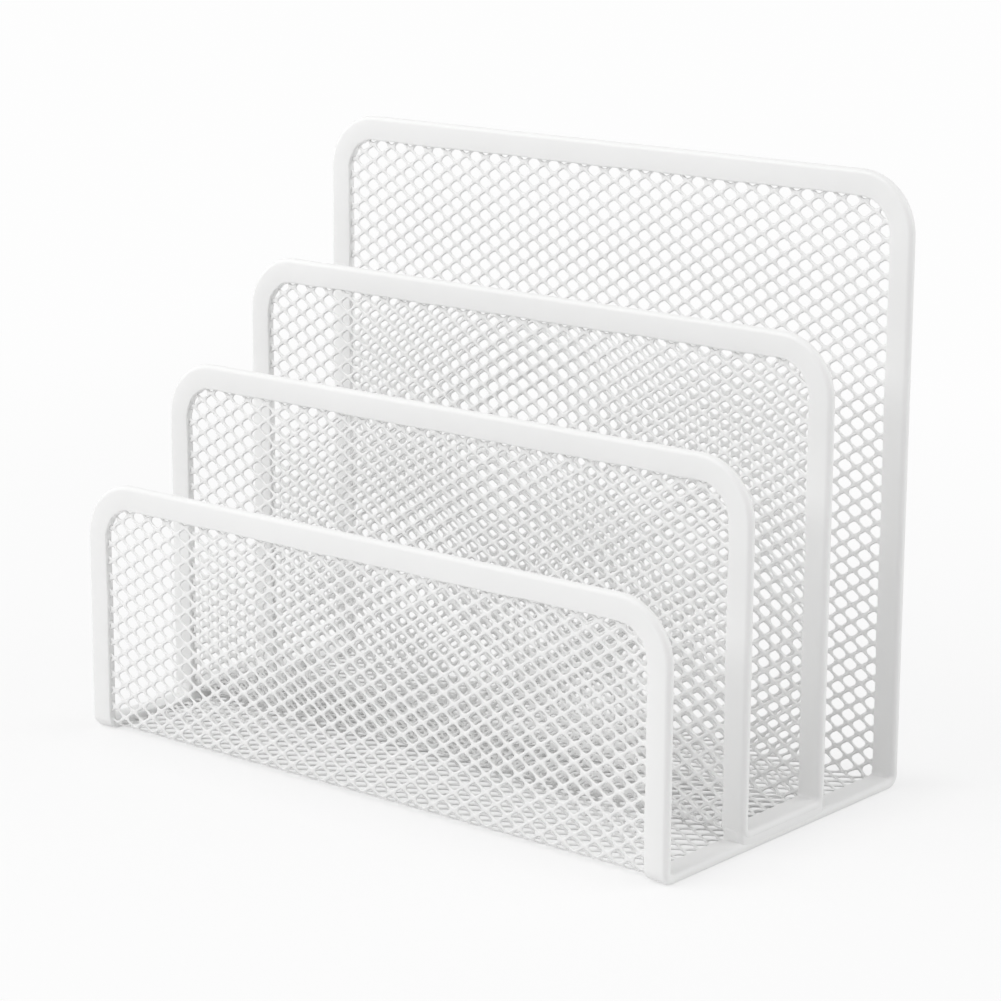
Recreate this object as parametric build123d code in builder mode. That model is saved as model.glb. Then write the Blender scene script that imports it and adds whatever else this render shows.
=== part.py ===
from build123d import *
import os
from math import hypot

# Desk mail organizer of coated steel mesh: three open slots between four walls of rising height.
# It is made of two net sheets, each folded up at its front and at its back.
# The large sheet is the front wall, the floor and the back wall.
# The small sheet, which stands in the large one, is the two dividers and a floor between them.
# A steel strip, folded to a U, grips each sheet's edge all the way round.
# The origin is on the table, in the middle of the footprint. X is the width, Y points back, Z up.

# Overall sizes
WIDTH = 172.0
DEPTH = 88.0
FRONT_HEIGHT = 61.2
FRONT_DIVIDER_HEIGHT = 86.0
REAR_DIVIDER_HEIGHT = 108.0
BACK_HEIGHT = 140.0

# Front faces of the dividers, behind the front face of the organizer
FRONT_DIVIDER_PLACE = 27.5
REAR_DIVIDER_PLACE = 56.0

# The net sheets and the strips folded over their edges
SHEET_THICKNESS = 1.2
STRIP_THICKNESS = 0.6
RIM_FACE = 6.0
CORNER_RADIUS = 14.0
BEND_RADIUS = 3.2

# The net's diamond gaps: smallest pitch, strand between two gaps, and bare border along the strip.
# They are coarser than the real ones, with about the same share open.
NET_PITCH_LONG = 13.5
NET_PITCH_SHORT = 9.0
STRAND = 1.9
NET_BORDER = 0.8
BEND_GAP_HEIGHT = 1.6

# Sizes that follow
RIM_THICKNESS = SHEET_THICKNESS + 2 * STRIP_THICKNESS
RIM_RADIUS = RIM_THICKNESS / 2
RIM_LEG = RIM_FACE - RIM_RADIUS
RIM_REACH = WIDTH / 2 - RIM_RADIUS
RIM_CORNER_RADIUS = CORNER_RADIUS - RIM_RADIUS
SHEET_WIDTH = 2 * RIM_REACH
NET_WIDTH = WIDTH - 2 * (RIM_FACE + NET_BORDER)

# A strand crosses a row of gaps at a slant, so it is wider along the row and up the column than across
STRAND_ALONG_ROW = STRAND * hypot(NET_PITCH_LONG, NET_PITCH_SHORT) / NET_PITCH_SHORT
STRAND_UP_COLUMN = STRAND * hypot(NET_PITCH_LONG, NET_PITCH_SHORT) / NET_PITCH_LONG

LEFT, RIGHT = -1, 1
FRONT, BACK = -1, 1

os.makedirs("parts", exist_ok=True)


def net_columns(width):
    """How many gaps fit side by side, and their pitch once they are spread over the whole width."""
    columns = int((width + STRAND_ALONG_ROW) / NET_PITCH_LONG)
    return columns, (width + STRAND_ALONG_ROW) / columns


def diamond(length, height):
    """Outline of one gap at each present place, with its long way along the sketch's x."""
    return Polygon(
        (length / 2, 0),
        (0, height / 2),
        (-length / 2, 0),
        (0, -height / 2),
        mode=Mode.PRIVATE,
    )


def net_gaps(middle, width, height):
    """Outlines of the staggered gaps that fill a rectangle of the sketch."""
    columns, across = net_columns(width)
    rows = int((height + STRAND_UP_COLUMN) / NET_PITCH_SHORT)
    up = (height + STRAND_UP_COLUMN) / rows
    gap_length = across - STRAND_ALONG_ROW
    gap_height = up - STRAND_UP_COLUMN
    with Locations((0, middle)):
        with GridLocations(across, up, columns, rows):
            full_rows = diamond(gap_length, gap_height)
        with GridLocations(across, up, columns - 1, rows - 1):
            rows_between = diamond(gap_length, gap_height)
    return [gap.outer_wire() for gap in full_rows.faces() + rows_between.faces()]


def rim_section():
    """Draws the strip's section: a U with a full round outer edge, whose slot holds the sheet. x points outwards."""
    with Locations((-RIM_LEG / 2, 0)):
        Rectangle(RIM_LEG, RIM_THICKNESS)
    Circle(RIM_RADIUS)
    with Locations((-RIM_LEG / 2, 0)):
        Rectangle(RIM_LEG, SHEET_THICKNESS, mode=Mode.SUBTRACT)
    Circle(SHEET_THICKNESS / 2, mode=Mode.SUBTRACT)


def upright_sheet(name, middle, foot, height):
    """Net of a wall or divider, from its bend up into its rim."""
    top = height - RIM_RADIUS
    net_foot = foot + NET_BORDER
    net_top = height - RIM_FACE - NET_BORDER
    with BuildPart() as sheet:
        with BuildSketch(Plane.XZ.offset(-middle - SHEET_THICKNESS / 2)) as outline:
            with Locations((0, (foot + top) / 2)):
                Rectangle(SHEET_WIDTH, top - foot)
            fillet(outline.vertices().group_by(Axis.Y)[-1], RIM_CORNER_RADIUS)
            gaps = net_gaps((net_foot + net_top) / 2, NET_WIDTH, net_top - net_foot)
            add(outline.face().make_holes(gaps), mode=Mode.REPLACE)
        extrude(amount=SHEET_THICKNESS, clean=False)
    sheet.part.label = name
    export_step(sheet.part, f"parts/{name}.step")


def floor_sheet(name, front, back, base):
    """Flat net between the two bends of a folded sheet."""
    middle = (front + back) / 2
    depth = back - front - 2 * BEND_RADIUS
    with BuildPart() as sheet:
        with BuildSketch(Plane.XY.offset(base + STRIP_THICKNESS)) as outline:
            with Locations((0, middle)):
                Rectangle(SHEET_WIDTH, depth)
            gaps = net_gaps(middle, NET_WIDTH, depth - 2 * NET_BORDER)
            add(outline.face().make_holes(gaps), mode=Mode.REPLACE)
        extrude(amount=SHEET_THICKNESS, clean=False)
    sheet.part.label = name
    export_step(sheet.part, f"parts/{name}.step")


def bend_axis(end, face, base):
    """The line about which a sheet and its strip are folded up, inside their outer face at the front or back."""
    return Axis((0, face - end * BEND_RADIUS, base + BEND_RADIUS), (-end, 0, 0))


def bend_sheet(name, end, face, base):
    """Quarter-round length of the net between a floor and an upright wall, with one row of gaps."""
    fold = bend_axis(end, face, base)
    columns, across = net_columns(NET_WIDTH)
    with BuildPart() as bend:
        with BuildSketch(Plane.XY.offset(base + BEND_RADIUS)):
            with Locations((0, face - end * RIM_RADIUS)):
                Rectangle(SHEET_WIDTH, SHEET_THICKNESS)
        revolve(axis=fold, revolution_arc=90)
        with BuildSketch(Plane(fold.position, x_dir=(1, 0, 0), z_dir=(0, end, -1))):
            with GridLocations(across, BEND_GAP_HEIGHT, columns, 1):
                add(diamond(across - STRAND_ALONG_ROW, BEND_GAP_HEIGHT).faces()[0])
        extrude(amount=BEND_RADIUS, mode=Mode.SUBTRACT)
    bend.part.label = name
    export_step(bend.part, f"parts/{name}.step")


def upright_rim(name, middle, foot, height):
    """Strip up one side of a wall or divider, over its rounded top corners and down the other side."""
    top = height - RIM_RADIUS
    corners = [(-RIM_REACH, foot), (-RIM_REACH, top), (RIM_REACH, top), (RIM_REACH, foot)]
    with BuildPart() as rim:
        with BuildLine(Plane.XZ.offset(-middle)) as way:
            FilletPolyline(*corners, radius=RIM_CORNER_RADIUS)
        with BuildSketch(Plane(way.line @ 0, x_dir=(LEFT, 0, 0), z_dir=way.line % 0)):
            rim_section()
        sweep(path=way.line)
    rim.part.label = name
    export_step(rim.part, f"parts/{name}.step")


def base_rim(name, side, front, back, base):
    """Straight length of the strip along one side of a folded sheet's floor."""
    place = (side * RIM_REACH, front + BEND_RADIUS, base + RIM_RADIUS)
    with BuildPart() as rim:
        with BuildSketch(Plane(place, x_dir=(side, 0, 0), z_dir=(0, 1, 0))):
            rim_section()
        extrude(amount=back - front - 2 * BEND_RADIUS)
    rim.part.label = name
    export_step(rim.part, f"parts/{name}.step")


def rim_bend(name, side, end, face, base):
    """Quarter-round length of the strip at one lower corner of a folded sheet."""
    place = (side * RIM_REACH, face - end * RIM_RADIUS, base + BEND_RADIUS)
    with BuildPart() as corner:
        with BuildSketch(Plane(place, x_dir=(side, 0, 0), z_dir=(0, 0, 1))):
            rim_section()
        revolve(axis=bend_axis(end, face, base), revolution_arc=90)
    corner.part.label = name
    export_step(corner.part, f"parts/{name}.step")


def folded_sheet(front_wall, floor, back_wall, prefix, front, back, base, front_height, back_height):
    """One net sheet folded up at its front and at its back, with the strip round its edge.
    front and back are its outer faces along Y, and base is its underside."""
    foot = base + BEND_RADIUS
    for wall, middle, height in (
        (front_wall, front + RIM_RADIUS, front_height),
        (back_wall, back - RIM_RADIUS, back_height),
    ):
        upright_sheet(f"{wall}_mesh", middle, foot, height)
        upright_rim(f"{wall}_rim", middle, foot, height)
    floor_sheet(f"{floor}_mesh", front, back, base)
    for end_name, end, face in (("front", FRONT, front), ("back", BACK, back)):
        bend_sheet(f"{prefix}{end_name}_bend_mesh", end, face, base)
    for side_name, side in (("left", LEFT), ("right", RIGHT)):
        base_rim(f"{prefix}{side_name}_base_rim", side, front, back, base)
        for end_name, end, face in (("front", FRONT, front), ("back", BACK, back)):
            rim_bend(f"{prefix}{end_name}_{side_name}_rim_bend", side, end, face, base)


# The large sheet, which stands on the table
folded_sheet(
    "front_wall", "floor", "back_wall", "",
    front=-DEPTH / 2,
    back=DEPTH / 2,
    base=0.0,
    front_height=FRONT_HEIGHT,
    back_height=BACK_HEIGHT,
)

# The small sheet, whose strip stands on the large sheet's strip
folded_sheet(
    "front_divider", "inner_floor", "rear_divider", "inner_",
    front=FRONT_DIVIDER_PLACE - DEPTH / 2,
    back=REAR_DIVIDER_PLACE + RIM_THICKNESS - DEPTH / 2,
    base=RIM_THICKNESS,
    front_height=FRONT_DIVIDER_HEIGHT,
    back_height=REAR_DIVIDER_HEIGHT,
)
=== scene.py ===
from math import atan2, cos, pi, radians, sin

import bpy
import numpy as np
from mathutils import Matrix, Vector


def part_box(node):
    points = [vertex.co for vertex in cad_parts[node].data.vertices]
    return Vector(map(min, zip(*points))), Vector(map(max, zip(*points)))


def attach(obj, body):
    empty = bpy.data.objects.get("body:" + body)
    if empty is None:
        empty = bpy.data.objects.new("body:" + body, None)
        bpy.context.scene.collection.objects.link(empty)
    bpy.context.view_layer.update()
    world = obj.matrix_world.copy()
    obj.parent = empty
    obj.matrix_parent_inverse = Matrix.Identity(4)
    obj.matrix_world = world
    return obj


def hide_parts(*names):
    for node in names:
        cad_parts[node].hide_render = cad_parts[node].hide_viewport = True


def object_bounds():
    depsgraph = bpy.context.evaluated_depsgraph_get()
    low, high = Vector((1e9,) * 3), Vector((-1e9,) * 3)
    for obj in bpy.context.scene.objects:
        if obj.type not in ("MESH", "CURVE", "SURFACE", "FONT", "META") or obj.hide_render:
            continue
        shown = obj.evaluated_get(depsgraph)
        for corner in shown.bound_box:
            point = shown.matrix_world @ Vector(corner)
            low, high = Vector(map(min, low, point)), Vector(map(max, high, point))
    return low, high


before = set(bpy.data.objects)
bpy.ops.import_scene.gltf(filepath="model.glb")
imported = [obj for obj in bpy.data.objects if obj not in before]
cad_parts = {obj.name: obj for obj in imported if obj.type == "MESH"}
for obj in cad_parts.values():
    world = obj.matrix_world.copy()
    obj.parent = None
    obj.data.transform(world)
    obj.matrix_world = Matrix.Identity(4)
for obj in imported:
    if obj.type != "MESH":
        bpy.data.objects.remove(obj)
cad_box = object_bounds()

# Desk mail organizer of white coated steel net: three open slots between four walls of rising height.
# It is two net sheets, each folded up at its front and its back, and the small one stands in the large one.
# A strip is folded over each sheet's edge all the way round.
# All lengths are in metres. X is the width, Y points back, Z up.


def size(node):
    """Length of a CAD node along X, Y and Z."""
    low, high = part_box(node)
    return [top - bottom for bottom, top in zip(low, high)]


def top_of(node):
    """Height of a CAD node's highest point."""
    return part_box(node)[1][2]


# Sizes that the frame gives
WIDTH, DEPTH, HEIGHT = (high - low for low, high in zip(*cad_box))
RIM_FACE, _, RIM_THICKNESS = size("left_base_rim")
BEND_RADIUS = size("front_left_rim_bend")[1]

# The strip folded over the sheets' edges
CORNER_RADIUS = 0.014
LIP_ROUND = 0.0004
LIP_PINCH = 0.15
LIP_WAVE = 0.00008
LIP_WAVE_TURNS = 2.1, 0.83

# Weld and coat between the two sheets' strips
FILL_SETBACK = 0.00004
FILL_OVERLAP = 0.0011
FILL_SQUARE = 0.2

# The net: about how far apart its gaps lie, the strands between them and the gaps' rounded corners
GAP_PITCH_LONG = 0.0060
GAP_PITCH_SHORT = 0.0040
STRAND_WIDTH = 0.00075
STRAND_THICKNESS = 0.00045
STRAND_SHOULDER = 0.00028
GAP_CORNER = 0.0007
LEAST_GAP_DEPTH = 0.0013

# Neighbouring cells share the points that are the same on a grid of this many steps to the metre
SHARED_POINT_GRID = 1e7

# How finely the strip and the weld's bar are drawn
STRIP_STEP = 0.006
FOLD_STEPS = 12
CORNER_STEPS = 18
LIP_STEPS = 4
EDGE_STEPS = 14
FILL_STEPS_AROUND = 32
FILL_STATIONS = 25

# The powder coat: its white where it is thin and where it is full, and its orange peel
THIN_COAT = (0.87, 0.87, 0.866, 1)
FULL_COAT = (0.91, 0.91, 0.906, 1)
CLOUD_SCALE = 45
PEEL_SCALE = 800
PEEL_HEIGHT = 0.00006
PEEL_STRENGTH = 0.25
SMOOTHEST = 0.36
ROUGHER_PEEL = 0.14
COAT_IOR = 1.5

# The floor: the share of plain white glow in what it shows, under the organizer, beside it and far off; the
# lower glow under and beside it is painted shade
WHITE_UNDER_PAINTED_SHADE = 0.62
WHITE_BESIDE = 0.84
WHITE_FAR = 1.0
UNDER_REACH = -0.01
BESIDE_REACH = 0.02
FAR_REACH = 0.4
FLOOR_WHITE = 0.985
PAPER = (0.9, 0.9, 0.9, 1)
FLOOR_REACH = 6.0

# The light: the even share from all round, and the softboxes' distance and breadth
WHITE = (1, 1, 1, 1)
AMBIENT = 0.42
SOFTBOX_DISTANCE = 1.2
SOFTBOX_BREADTH = 0.9

# The camera, found from the organizer's own edges in the photograph
CAMERA_AZIMUTH = radians(39.736)
CAMERA_ELEVATION = radians(13.561)
CAMERA_ROLL = radians(0.286)
CAMERA_DISTANCE = 0.7419
CAMERA_TARGET = Vector((0, -0.00272, 0.05897))
CAMERA_ASIDE = 0.005176
CAMERA_RAISED = 0.002750
LENS = 116.57
SENSOR = 36.0

# Sizes that follow
RIM_RADIUS = RIM_THICKNESS / 2
SHEET_REACH = WIDTH / 2 - RIM_RADIUS
FOLD_RADIUS = BEND_RADIUS - RIM_RADIUS
FOLD_LENGTH = FOLD_RADIUS * pi / 2


class FoldedSheet:
    """One net sheet folded up at its front and at its back, whose sizes come from its CAD nodes.
    The stretches of the sheet laid out flat are measured from the front wall's top edge."""

    def __init__(self, front_wall, floor, back_wall, prefix):
        self.front_wall, self.floor, self.back_wall, self.prefix = front_wall, floor, back_wall, prefix
        low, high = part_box(prefix + "left_base_rim")
        self.base = low[2]
        self.front_axis = low[1]
        self.floor_length = high[1] - low[1]
        bend_top = self.base + BEND_RADIUS
        self.front_end = top_of(front_wall + "_rim") - bend_top
        self.floor_start = self.front_end + FOLD_LENGTH
        self.floor_end = self.floor_start + self.floor_length
        self.back_start = self.floor_end + FOLD_LENGTH
        self.length = self.back_start + top_of(back_wall + "_rim") - bend_top

    def place(self, across, along, off):
        """Places of points of the flat sheet once it is folded: down the front wall, a quarter circle round
        the front bend, back along the floor, a quarter circle round the back bend and up the back wall.
        across runs along X, along follows the sheet, and off is the height above it on the inner side."""
        front_turn = np.clip((along - self.front_end) / FOLD_RADIUS, 0, pi / 2)
        back_turn = np.clip((along - self.floor_end) / FOLD_RADIUS, 0, pi / 2)
        reach = FOLD_RADIUS - off
        on_floor = np.clip(along - self.floor_start, 0, self.floor_length)
        back = self.front_axis - reach * np.cos(front_turn) + on_floor + reach * np.sin(back_turn)
        still_up = np.clip(self.front_end - along, 0, None)
        risen = np.clip(along - self.back_start, 0, None)
        turned = reach * (1 - np.cos(back_turn)) - reach * np.sin(front_turn)
        up = self.base + BEND_RADIUS + still_up + turned + risen
        return np.stack(np.broadcast_arrays(across, back, up), axis=-1)


def add_piece(name, points, faces, nodes, finish):
    """Makes one smooth-shaded piece from its points and faces, in place of the CAD nodes that it details."""
    mesh = bpy.data.meshes.new(name)
    mesh.from_pydata(points, [], faces)
    mesh.polygons.foreach_set("use_smooth", np.ones(len(mesh.polygons), dtype=bool))
    mesh.materials.append(finish)
    mesh.update()
    piece = bpy.data.objects.new(name, mesh)
    bpy.context.scene.collection.objects.link(piece)
    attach(piece, "root")
    if nodes:
        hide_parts(*nodes)


def gap_centres(columns, rows, long_pitch, short_pitch, start):
    """Middles of the net's gaps on the flat sheet: full rows, and between them rows that are one gap shorter
    and half a pitch to the side."""
    full = np.stack(np.meshgrid(np.arange(columns) + 0.5, np.arange(rows) + 0.5), axis=-1).reshape(-1, 2)
    between = np.stack(np.meshgrid(np.arange(1, columns), np.arange(1, rows)), axis=-1).reshape(-1, 2)
    steps = np.concatenate([full, between]) - (columns / 2, 0)
    return steps * (long_pitch, short_pitch) + (0, start)


def round_ring(quarter):
    """Closed ring from the points of its first quarter, long tip to short tip, mirrored into the others."""
    there, back_again = quarter[:-1], quarter[:0:-1]
    return np.concatenate([there, back_again * (-1, 1), there * (-1, -1), back_again * (1, -1)])


def gap_rings(long_pitch, short_pitch):
    """The three rings of one cell of the net, round its gap's middle: the diamond half way to the next gaps,
    the shoulder where the strands' flat faces end, and the gap's edge. Shoulder and edge are one smaller
    diamond, grown all round by a longer and by a shorter radius."""
    half_long, half_short = long_pitch / 2, short_pitch / 2
    slope = atan2(half_short, half_long)
    inset = STRAND_WIDTH / 2 + GAP_CORNER
    tip, peak = half_long - inset / sin(slope), half_short - inset / cos(slope)
    core = np.array([(tip, 0), (tip, 0), (0, peak), (0, peak)])
    turn = np.array([0, pi / 2 - slope, pi / 2 - slope, pi / 2])
    way_out = np.stack([np.cos(turn), np.sin(turn)], axis=-1)
    diamond = np.linspace((half_long, 0), (0, half_short), len(core))
    shoulder = core + (GAP_CORNER + STRAND_SHOULDER) * way_out
    edge = core + GAP_CORNER * way_out
    return [round_ring(quarter) for quarter in (diamond, shoulder, edge)]


def corner_offset(points, low, high, radius):
    """Middle of the nearest corner arc, or the nearest point between the arcs, and the points' way from it."""
    middle = np.clip(points, np.add(low, radius), np.subtract(high, radius))
    return middle, points - middle


def draw_in(points, low, high, radius):
    """Points kept inside a rectangle with rounded corners: clipped to its sides, then pulled in to its arcs."""
    middle, out = corner_offset(np.clip(points, low, high), low, high, radius)
    reach = np.linalg.norm(out, axis=-1, keepdims=True)
    return middle + out * (radius / np.maximum(reach, radius))


def net_cells(centres, low, high, radius):
    """The cells whose middle lies well inside the sheet's outline."""
    out = corner_offset(centres, low, high, radius)[1]
    return centres[radius - np.linalg.norm(out, axis=-1) > LEAST_GAP_DEPTH]


def net_surface(centres, rings, outline, place):
    """Points and faces of a net. Each cell has five rings: on the near side the crest half way to the next gaps
    and the shoulder, then the gap's edge in the middle of the sheet, and on the far side shoulder and crest
    again. Neighbours share crests, and a crest without a neighbour is closed by a wall through the sheet."""
    low, high, radius = outline
    insets = (0, STRAND_WIDTH / 2 - STRAND_SHOULDER, STRAND_WIDTH / 2)
    crest, shoulder, edge = [
        draw_in(centres[:, None] + ring, np.add(low, inset), np.subtract(high, inset), radius - inset)
        for ring, inset in zip(rings, insets)
    ]
    count, around = crest.shape[:2]
    keys = np.round(crest.reshape(-1, 2) * SHARED_POINT_GRID).astype(np.int64)
    first, owner = np.unique(keys, axis=0, return_index=True, return_inverse=True)[1:]
    crest = crest.reshape(-1, 2)[first]
    shoulder, edge = shoulder.reshape(-1, 2), edge.reshape(-1, 2)
    top = STRAND_THICKNESS / 2
    layers = [(crest, top), (shoulder, top), (edge, 0), (shoulder, -top), (crest, -top)]
    points = np.concatenate([place(flat[:, 0], flat[:, 1], off) for flat, off in layers])

    far = len(crest) + 3 * len(edge)
    near_crest = owner.reshape(count, around)
    near_shoulder = len(crest) + np.arange(count * around).reshape(count, around)
    middle_edge = near_shoulder + len(edge)
    far_shoulder = middle_edge + len(edge)
    rows = [near_crest, near_shoulder, middle_edge, far_shoulder, near_crest + far]
    bands = [
        np.stack([outer, np.roll(outer, -1, 1), np.roll(inner, -1, 1), inner], axis=-1).reshape(-1, 4)
        for outer, inner in zip(rows, rows[1:])
    ]
    start, end = near_crest.ravel(), np.roll(near_crest, -1, 1).ravel()
    pair = np.minimum(start, end) * len(crest) + np.maximum(start, end)
    uses = np.unique(pair, return_inverse=True, return_counts=True)
    alone = uses[2][uses[1].ravel()] == 1
    wall = np.stack([end, start, start + far, end + far], axis=-1)[alone]
    return points, np.concatenate(bands + [wall])


def net_layout(start, end):
    """Columns and rows of gaps that fill the sheet's width and a length along it, and their exact pitches."""
    columns = round(2 * SHEET_REACH / GAP_PITCH_LONG)
    rows = round((end - start) / GAP_PITCH_SHORT)
    return columns, rows, 2 * SHEET_REACH / columns, (end - start) / rows


def folded_net(sheet, finish):
    """The net of a folded sheet, as three pieces that meet along its cells: front wall with its bend, floor,
    and back wall with its bend."""
    start, end = RIM_RADIUS, sheet.length - RIM_RADIUS
    columns, rows, long_pitch, short_pitch = net_layout(start, end)
    outline = (-SHEET_REACH, start), (SHEET_REACH, end), CORNER_RADIUS - RIM_RADIUS
    centres = net_cells(gap_centres(columns, rows, long_pitch, short_pitch, start), *outline)
    rings = gap_rings(long_pitch, short_pitch)
    for stretch, since, until, bend in (
        (sheet.front_wall, 0, sheet.floor_start, ["front_bend_mesh"]),
        (sheet.floor, sheet.floor_start, sheet.floor_end, []),
        (sheet.back_wall, sheet.floor_end, sheet.length, ["back_bend_mesh"]),
    ):
        inside = centres[(centres[:, 1] >= since) & (centres[:, 1] < until)]
        points, faces = net_surface(inside, rings, outline, sheet.place)
        nodes = [stretch + "_mesh"] + [sheet.prefix + node for node in bend]
        add_piece(stretch + "_net", points, faces, nodes, finish)


def arc(middle, radius, start, end, steps):
    """Points of a circular arc in the strip's section, from one angle to another in degrees."""
    turn = np.radians(np.linspace(start, end, steps + 1))
    return np.stack([middle[0] + radius * np.cos(turn), middle[1] + radius * np.sin(turn)], axis=-1)


def strip_section():
    """Closed outline of the folded strip: a bar with a half circle at its outer edge. Its two lips are rounded
    and lean in towards the sheet a little. The coat closes the slot between them, where the net comes out.
    The first value of a point is its depth in from the outer edge, the second its place across the sheet."""
    outer = RIM_RADIUS - LIP_ROUND
    section = np.concatenate([
        arc((RIM_FACE - LIP_ROUND, outer), LIP_ROUND, 0, 90, LIP_STEPS),
        arc((RIM_RADIUS, 0), RIM_RADIUS, 90, 270, EDGE_STEPS),
        arc((RIM_FACE - LIP_ROUND, -outer), LIP_ROUND, 270, 360, LIP_STEPS),
    ])
    lean = np.clip((section[:, 0] - RIM_RADIUS) / (RIM_FACE - RIM_RADIUS), 0, 1)
    section[:, 1] *= 1 - LIP_PINCH * lean
    return section


def strip_surface(core, out, section, place):
    """Points and faces of the strip carried along its closed way. At each station a section point lies at the
    station's core, plus its outward direction times the corner radius less the point's depth. The lips' edge
    wavers by two sines of the station's number."""
    stations, sides = len(core), len(section)
    depth, off = section.T
    wave = sum(np.sin(np.arange(stations) * turn) for turn in LIP_WAVE_TURNS)
    near_lip = np.clip(depth / RIM_FACE, 0, 1) ** 3
    reach = CORNER_RADIUS - depth + LIP_WAVE * wave[:, None] * near_lip
    flat = core[:, None] + out[:, None] * reach[..., None]
    points = place(flat[..., 0], flat[..., 1], np.broadcast_to(off, reach.shape)).reshape(-1, 3)
    index = np.arange(stations * sides).reshape(stations, sides)
    following = np.roll(index, -1, 0)
    quads = np.stack([index, np.roll(index, -1, 1), np.roll(following, -1, 1), following], axis=-1)
    return points, quads.reshape(-1, 4)


def run(start, end, step=STRIP_STEP):
    """Evenly spaced places along a straight stretch, without its last one."""
    count = max(1, round(abs(end - start) / step))
    return np.linspace(start, end, count, endpoint=False)


def turn_stations(middle, start, end):
    """Stations round one rounded corner: the core stays at its middle while the outward direction turns."""
    turn = np.radians(np.linspace(start, end, CORNER_STEPS, endpoint=False))
    return np.broadcast_to(middle, (CORNER_STEPS, 2)), np.stack([np.cos(turn), np.sin(turn)], axis=-1)


def straight_stations(core, out):
    """Stations along a straight side, all with one outward direction."""
    return core, np.broadcast_to(out, core.shape)


def join_stations(stations):
    """All stations of a strip's way in a row."""
    return [np.concatenate(part) for part in zip(*stations)]


def folded_strip(sheet, finish):
    """The strip round a folded sheet: one closed way along its right edge from front to back, over the back
    wall's top, along the left edge and over the front wall's top."""
    side = WIDTH / 2 - CORNER_RADIUS
    low, high = CORNER_RADIUS, sheet.length - CORNER_RADIUS
    fold_step = FOLD_LENGTH / FOLD_STEPS
    along = np.concatenate([
        run(low, sheet.front_end),
        run(sheet.front_end, sheet.floor_start, fold_step),
        run(sheet.floor_start, sheet.floor_end),
        run(sheet.floor_end, sheet.back_start, fold_step),
        run(sheet.back_start, high),
    ])
    right = np.stack([np.full_like(along, side), along], axis=-1)
    left = np.append(right[1:], [(side, high)], axis=0)[::-1] * (-1, 1)
    across = run(side, -side)
    back_top = np.stack([across, np.full_like(across, high)], axis=-1)
    front_top = np.stack([-across, np.full_like(across, low)], axis=-1)
    core, out = join_stations([
        straight_stations(right, (1, 0)),
        turn_stations((side, high), 0, 90),
        straight_stations(back_top, (0, 1)),
        turn_stations((-side, high), 90, 180),
        straight_stations(left, (-1, 0)),
        turn_stations((-side, low), 180, 270),
        straight_stations(front_top, (0, -1)),
        turn_stations((side, low), 270, 360),
    ])
    points, faces = strip_surface(core, out, strip_section(), sheet.place)
    nodes = [sheet.front_wall + "_rim", sheet.back_wall + "_rim"]
    for hand in ("left", "right"):
        nodes += [f"{sheet.prefix}{hand}_base_rim"]
        nodes += [f"{sheet.prefix}{end}_{hand}_rim_bend" for end in ("front", "back")]
    add_piece(sheet.prefix + "sheet_strip", points, faces, nodes, finish)


def soft_corner(turn):
    """Cosine and sine with their size drawn out towards 1: a circle becomes a square with round corners."""
    circle = np.stack([np.cos(turn), np.sin(turn)])
    return np.sign(circle) * np.abs(circle) ** FILL_SQUARE


def weld_fill(hand, small, finish):
    """Weld and coat between the two sheets' strips on one side: a soft-cornered bar, whose underside lies in
    the large sheet's strip and whose top follows the small sheet's bends."""
    wide, high = soft_corner(np.linspace(0, 2 * pi, FILL_STEPS_AROUND, endpoint=False))
    taper, along = soft_corner(np.linspace(-pi / 2, pi / 2, FILL_STATIONS + 2)[1:-1])
    back_axis = small.front_axis + small.floor_length
    half_length = small.floor_length / 2 + BEND_RADIUS - FILL_SETBACK
    y = small.front_axis + small.floor_length / 2 + half_length * along
    into_bend = np.maximum(0, np.maximum(small.front_axis - y, y - back_axis))
    top = small.base + BEND_RADIUS - np.sqrt(BEND_RADIUS ** 2 - into_bend ** 2) + FILL_OVERLAP
    foot = small.base - FILL_OVERLAP
    middle, half_width = WIDTH / 2 - RIM_FACE / 2, RIM_FACE / 2 - FILL_SETBACK
    x = hand * (middle + half_width * wide * taper[:, None])
    z = (top + foot)[:, None] / 2 + (top - foot)[:, None] / 2 * high * taper[:, None]
    points = np.stack(np.broadcast_arrays(x, y[:, None], z), axis=-1).reshape(-1, 3)
    index = np.arange(len(points)).reshape(FILL_STATIONS, FILL_STEPS_AROUND)[:, ::hand]
    this, following = index[:-1], index[1:]
    quads = np.stack([this, following, np.roll(following, -1, 1), np.roll(this, -1, 1)], axis=-1)
    ends = [index[0].tolist(), index[-1, ::-1].tolist()]
    side = "right" if hand > 0 else "left"
    faces = quads.reshape(-1, 4).tolist() + ends
    add_piece(side + "_weld_fill", points, faces, [], finish)


class Wire:
    """An output socket whose value varies over a surface. Arithmetic on it adds Math nodes to its tree."""

    def __init__(self, tree, socket):
        self.tree = tree
        self.socket = socket

    def calculate(self, operation, first, second):
        sockets = {0: first, 1: second}
        return add_node(self.tree, "ShaderNodeMath", {"operation": operation}, sockets)["Value"]

    def __add__(self, other):
        return self.calculate("ADD", self, other)

    def __radd__(self, other):
        return self.calculate("ADD", other, self)

    def __sub__(self, other):
        return self.calculate("SUBTRACT", self, other)

    def __rsub__(self, other):
        return self.calculate("SUBTRACT", other, self)

    def __mul__(self, other):
        return self.calculate("MULTIPLY", self, other)

    def __rmul__(self, other):
        return self.calculate("MULTIPLY", other, self)

    def __abs__(self):
        return self.calculate("ABSOLUTE", self, 0.0)

    def greater(self, other):
        return self.calculate("MAXIMUM", self, other)


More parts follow.
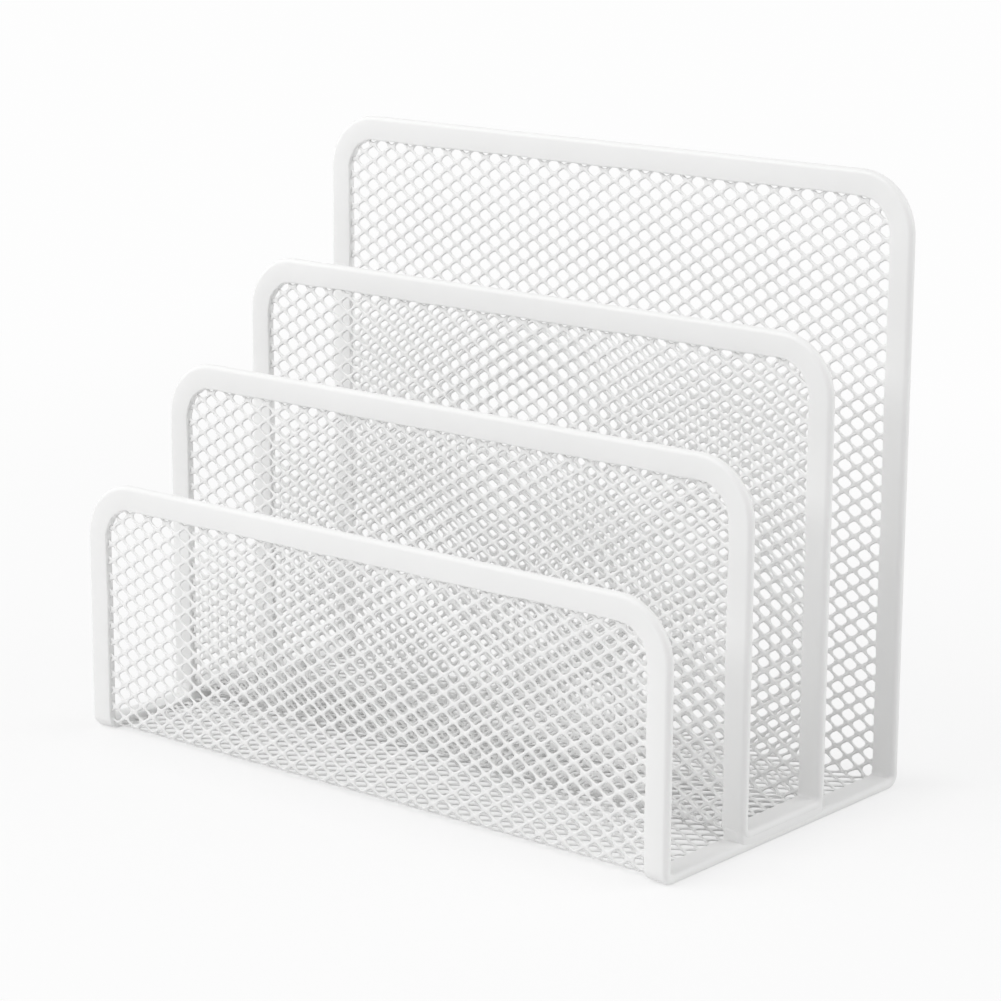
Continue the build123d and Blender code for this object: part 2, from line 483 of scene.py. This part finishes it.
def add_node(tree, kind, settings={}, sockets={}):
    """Adds a node: first its settings, then the values or links of its sockets. Gives its outputs by name."""
    node = tree.nodes.new(kind)
    for setting, value in settings.items():
        setattr(node, setting, value)
    for socket, value in sockets.items():
        if isinstance(value, Wire):
            tree.links.new(value.socket, node.inputs[socket])
        else:
            node.inputs[socket].default_value = value
    return {output.name: Wire(tree, output) for output in node.outputs if output.enabled}


def empty_tree(owner):
    """The node tree of a new material or world, cleared of its default nodes."""
    owner.use_nodes = True
    owner.node_tree.nodes.clear()
    return owner.node_tree


def coated_steel(name):
    """White powder coat on steel: fine orange peel, a slightly uneven gloss and a faintly clouded white."""
    finish = bpy.data.materials.new(name)
    tree = empty_tree(finish)
    place = add_node(tree, "ShaderNodeTexCoord")["Object"]

    def noise(scale, detail):
        sockets = {"Vector": place, "Scale": scale, "Detail": detail}
        return add_node(tree, "ShaderNodeTexNoise", {}, sockets)["Fac"]

    peel = noise(PEEL_SCALE, 2)
    cloud = noise(CLOUD_SCALE, 3)
    colour = add_node(tree, "ShaderNodeMix", {"data_type": "RGBA"}, {
        "Factor": cloud,
        6: THIN_COAT,
        7: FULL_COAT,
    })["Result"]
    bump = add_node(tree, "ShaderNodeBump", {}, {
        "Strength": PEEL_STRENGTH,
        "Distance": PEEL_HEIGHT,
        "Height": peel,
    })["Normal"]
    coat = add_node(tree, "ShaderNodeBsdfPrincipled", {}, {
        "Base Color": colour,
        "Roughness": SMOOTHEST + ROUGHER_PEEL * peel,
        "Normal": bump,
        "IOR": COAT_IOR,
    })["BSDF"]
    add_node(tree, "ShaderNodeOutputMaterial", {}, {"Surface": coat})
    return finish


def seen_directly(tree):
    """1 for rays from the camera, in a mirror or through glass, and 0 for rays that only carry light."""
    path = add_node(tree, "ShaderNodeLightPath")
    seen = path["Is Camera Ray"] + path["Is Glossy Ray"] + path["Is Transmission Ray"]
    return add_node(tree, "ShaderNodeClamp", {}, {"Value": seen})["Result"]


def studio_floor():
    """A wide white floor, which shows plain white, and near the organizer also paper with its soft shadow. Its
    white glow is dimmed in the shape of the organizer's footprint, which paints shade under and beside it.
    """
    finish = bpy.data.materials.new("studio_floor")
    tree = empty_tree(finish)
    place = add_node(tree, "ShaderNodeTexCoord")["Object"]
    x, y, _ = add_node(tree, "ShaderNodeSeparateXYZ", {}, {"Vector": place}).values()
    outside = (abs(x) - WIDTH / 2).greater(abs(y) - DEPTH / 2)

    def rise(since, until, low, high):
        sockets = {"Value": outside, "From Min": since, "From Max": until, "To Min": low, "To Max": high}
        return add_node(tree, "ShaderNodeMapRange", {"interpolation_type": "SMOOTHSTEP"}, sockets)["Result"]

    # Painted shade: the white glow is dimmed under the organizer and just beside it, in the shape of its
    # footprint, so the floor shows darker there than the paper's real shadow alone makes it
    beside = rise(UNDER_REACH, BESIDE_REACH, WHITE_UNDER_PAINTED_SHADE, WHITE_BESIDE)
    far_off = rise(BESIDE_REACH, FAR_REACH, 0, WHITE_FAR - WHITE_BESIDE)
    paper = add_node(tree, "ShaderNodeBsdfDiffuse", {}, {"Color": PAPER})["BSDF"]
    glow = add_node(tree, "ShaderNodeEmission", {}, {"Color": WHITE, "Strength": FLOOR_WHITE})["Emission"]
    share = (beside + far_off) * seen_directly(tree)
    shown = add_node(tree, "ShaderNodeMixShader", {}, {0: share, 1: paper, 2: glow})["Shader"]
    add_node(tree, "ShaderNodeOutputMaterial", {}, {"Surface": shown})
    mesh = bpy.data.meshes.new("studio_floor")
    corners = FLOOR_REACH * np.array([(-1, -1, 0), (1, -1, 0), (1, 1, 0), (-1, 1, 0)])
    mesh.from_pydata(corners, [], [(0, 1, 2, 3)])
    mesh.materials.append(finish)
    floor = bpy.data.objects.new("studio_floor", mesh)
    bpy.context.scene.collection.objects.link(floor)


def studio_world():
    """White surroundings: even soft light, and plain white where they are seen."""
    world = bpy.data.worlds.new("studio")
    bpy.context.scene.world = world
    tree = empty_tree(world)
    strength = AMBIENT + (1 - AMBIENT) * seen_directly(tree)
    sky = add_node(tree, "ShaderNodeBackground", {}, {"Color": WHITE, "Strength": strength})["Background"]
    add_node(tree, "ShaderNodeOutputWorld", {}, {"Surface": sky})


def direction(turn, rise):
    """The way out from the organizer at an angle round it, counted from the front, and above the horizon."""
    return Vector((sin(turn) * cos(rise), -cos(turn) * cos(rise), sin(rise)))


def softbox(name, azimuth, elevation, power):
    """A square lamp turned to the organizer's middle, whose angles round it and above it are in degrees."""
    lamp = bpy.data.lights.new(name, "AREA")
    lamp.size = SOFTBOX_BREADTH
    lamp.energy = power
    away = direction(radians(azimuth), radians(elevation))
    box = bpy.data.objects.new(name, lamp)
    bpy.context.scene.collection.objects.link(box)
    box.location = Vector((0, 0, HEIGHT / 2)) + away * SOFTBOX_DISTANCE
    box.rotation_euler = away.to_track_quat("Z", "Y").to_euler()


def set_camera():
    """The camera looks past its target along its back axis, and is turned a little about that axis."""
    back = direction(CAMERA_AZIMUTH, CAMERA_ELEVATION)
    level = Vector((cos(CAMERA_AZIMUTH), sin(CAMERA_AZIMUTH), 0))
    upright = back.cross(level)
    right = cos(CAMERA_ROLL) * level + sin(CAMERA_ROLL) * upright
    up = cos(CAMERA_ROLL) * upright - sin(CAMERA_ROLL) * level
    place = CAMERA_TARGET + CAMERA_DISTANCE * back + CAMERA_ASIDE * right + CAMERA_RAISED * up
    lens = bpy.data.cameras.new("camera")
    lens.sensor_width = SENSOR
    lens.lens = LENS
    camera = bpy.data.objects.new("camera", lens)
    camera.matrix_world = Matrix((right, up, back)).transposed().to_4x4()
    camera.location = place
    bpy.context.scene.collection.objects.link(camera)
    bpy.context.scene.camera = camera


net_coat = coated_steel("white_coated_net")
strip_coat = coated_steel("white_coated_strip")
large_sheet = FoldedSheet("front_wall", "floor", "back_wall", prefix="")
small_sheet = FoldedSheet("front_divider", "inner_floor", "rear_divider", prefix="inner_")
for sheet in (large_sheet, small_sheet):
    folded_net(sheet, net_coat)
    folded_strip(sheet, strip_coat)
for hand in (-1, 1):
    weld_fill(hand, small_sheet, strip_coat)

studio_floor()
studio_world()
softbox("key_softbox", azimuth=-25, elevation=45, power=8.25)
softbox("left_softbox", azimuth=-80, elevation=25, power=1.7)
softbox("rear_softbox", azimuth=120, elevation=30, power=5.0)
set_camera()
bpy.context.scene.view_settings.view_transform = "Standard"
